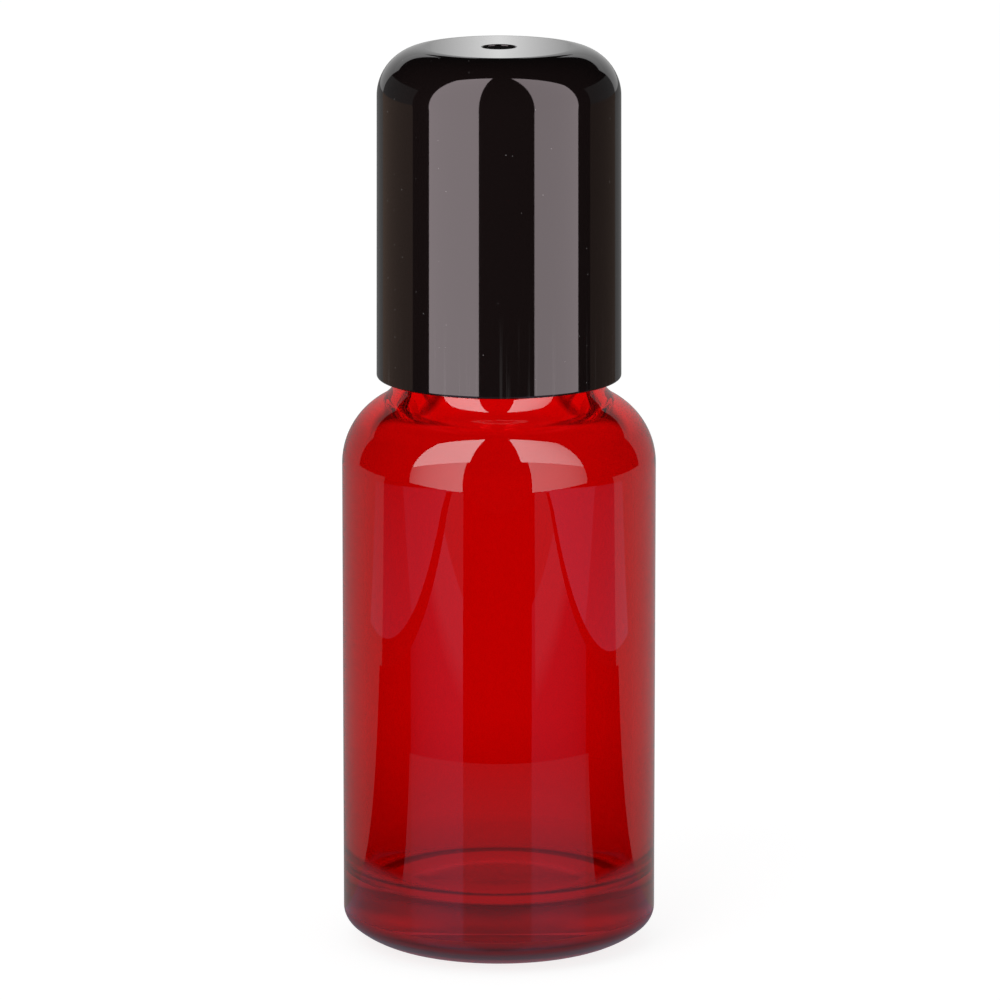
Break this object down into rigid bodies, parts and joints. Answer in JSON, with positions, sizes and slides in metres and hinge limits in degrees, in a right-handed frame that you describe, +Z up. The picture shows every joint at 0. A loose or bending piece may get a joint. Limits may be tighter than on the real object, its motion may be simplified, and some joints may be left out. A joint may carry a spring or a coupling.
{
  "type": "roll-on bottle",
  "caption": "Round glass roll-on bottle in see-through red lacquer, with a plug-in roller housing and ball under a tall glossy black screw cap.",
  "frame": {"origin": "middle of the bottle's base, on the plane that it stands on", "axes": "+Z up along the bottle's axis, -Y towards the side that the picture shows"},
  "size_m": [0.033, 0.033, 0.0956],
  "materials": {
    "red_glass": "clear glass with a see-through deep red lacquer on the outside, thin at the heel",
    "housing_plastic": "natural milky moulded plastic",
    "ball_plastic": "ground and polished white plastic",
    "pad_foam": "soft closed-cell foam with a smooth skin",
    "liner_plastic": "plain black moulded plastic",
    "cap_plastic": "high-gloss black moulded plastic"
  },
  "bodies": {
    "bottle": {"glass_bottle": "red_glass", "roller_housing": "housing_plastic"},
    "ball": {"roller_ball": "ball_plastic"},
    "seal_pad": {"ball_seal_pad": "pad_foam"},
    "cap": {"cap_liner": "liner_plastic", "outer_cap": "cap_plastic"}
  },
  "joints": [
    {"name": "ball_roll", "type": "hinge", "parent": "bottle", "child": "ball", "pos_m": [0, 0, 0.08027], "axis": [1, 0, 0], "continuous": true},
    {"name": "cap_rise", "type": "slide", "parent": "bottle", "child": "seal_pad", "axis": [0, 0, 1], "range_m": [0, 0.03001]},
    {"name": "cap_turn", "type": "hinge", "parent": "seal_pad", "child": "cap", "pos_m": [0, 0, 0.0862], "axis": [0, 0, 1], "range_deg": [0, 3600]}
  ],
  "couplings": [
    {"joint": "cap_rise", "follows": "cap_turn", "m_per_rad": 0.00047746}
  ]
}
